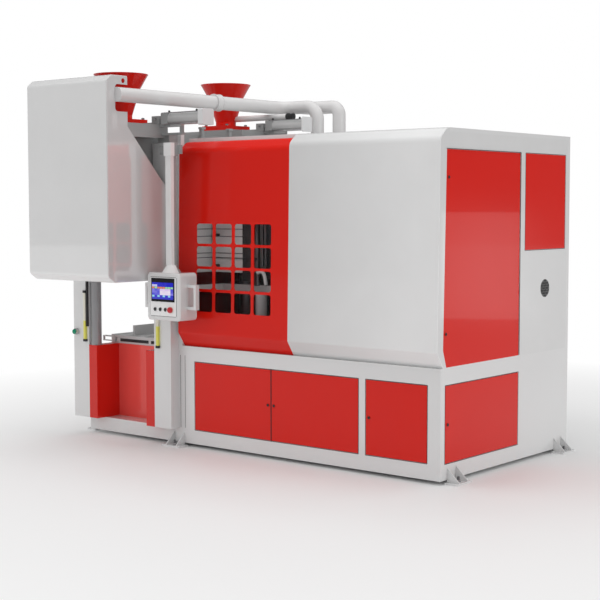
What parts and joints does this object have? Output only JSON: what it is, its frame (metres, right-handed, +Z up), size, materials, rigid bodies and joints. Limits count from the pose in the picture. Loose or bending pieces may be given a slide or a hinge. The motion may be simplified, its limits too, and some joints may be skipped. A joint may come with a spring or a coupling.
{
  "type": "flaskless molding machine",
  "caption": "Fixed foundry moulding machine: a red and white housing on a cabinet base with hinged doors, beside a loading station under an overhead sand head with two funnels.",
  "frame": {"origin": "on the floor, at the middle of the rectangle of the four end anchor bolt holes, which is the middle of the base frame", "axes": "+X to the right along the front, +Y into the depth towards the back, +Z up"},
  "size_m": [4.0546, 2.8363, 3.214],
  "materials": {
    "white_paint": "smooth semi-gloss light grey white enamel",
    "red_paint": "glossy red enamel",
    "grey_steel": "satin grey machine enamel",
    "dark_steel": "ground and hard chromed dark steel",
    "pipe_white": "smooth white pipe",
    "black_plastic": "matt black plastic",
    "screen_black": null,
    "red_plastic": "glossy red push button",
    "curtain_yellow": "yellow and ivory safety sensor bar",
    "clear_glass": "clear flat window pane",
    "lamp_green": "green lens in a bright ring"
  },
  "bodies": {
    "machine": {"air_pipe_front": "pipe_white", "air_pipe_rear": "pipe_white", "base_frame": "white_paint", "cabinet_front_frame": "white_paint", "cabinet_right_frame": "white_paint", "cabinet_walls": "white_paint", "control_box": "white_paint", "control_face": "screen_black", "control_pole": "white_paint", "foot_brackets": "white_paint", "funnel_front": "red_paint", "funnel_rear": "red_paint", "gate_cylinders": "grey_steel", "guide_columns": "dark_steel", "head_cover": "white_paint", "head_frame": "grey_steel", "hood_red": "red_paint", "hood_white": "white_paint", "hoppers": "grey_steel", "light_curtains": "curtain_yellow", "machine_deck": "white_paint", "mould_flask": "grey_steel", "post_left": "white_paint", "post_right": "white_paint", "posts_rear": "white_paint", "press_cylinder": "dark_steel", "push_lamp": "lamp_green", "roof_panel": "white_paint", "side_door_tall": "red_paint", "side_panel_narrow": "red_paint", "squeeze_table": "white_paint", "station_column": "dark_steel", "station_guard": "red_paint", "station_table": "grey_steel", "stop_bar": "black_plastic", "stop_button": "red_plastic", "table_rails": "grey_steel", "upper_left_wall": "white_paint", "upper_rear_wall": "white_paint", "upper_right_wall": "white_paint", "window_glass": "clear_glass"},
    "left_leaf": {"front_door_left": "red_paint"},
    "right_leaf": {"front_door_right": "red_paint"},
    "small_leaf": {"front_door_small": "red_paint"},
    "side_leaf": {"side_door_lower": "red_paint"}
  },
  "joints": [
    {"name": "left_leaf_hinge", "type": "hinge", "parent": "machine", "child": "left_leaf", "pos_m": [-0.585, -0.978, 0.447], "axis": [0, 0, 1], "range_deg": [-110, 0]},
    {"name": "right_leaf_hinge", "type": "hinge", "parent": "machine", "child": "right_leaf", "pos_m": [1.157, -0.978, 0.447], "axis": [0, 0, 1], "range_deg": [0, 110]},
    {"name": "small_leaf_hinge", "type": "hinge", "parent": "machine", "child": "small_leaf", "pos_m": [1.797, -0.978, 0.447], "axis": [0, 0, 1], "range_deg": [0, 110]},
    {"name": "side_leaf_hinge", "type": "hinge", "parent": "machine", "child": "side_leaf", "pos_m": [1.917, 0.149, 0.447], "axis": [0, 0, 1], "range_deg": [0, 110]}
  ]
}
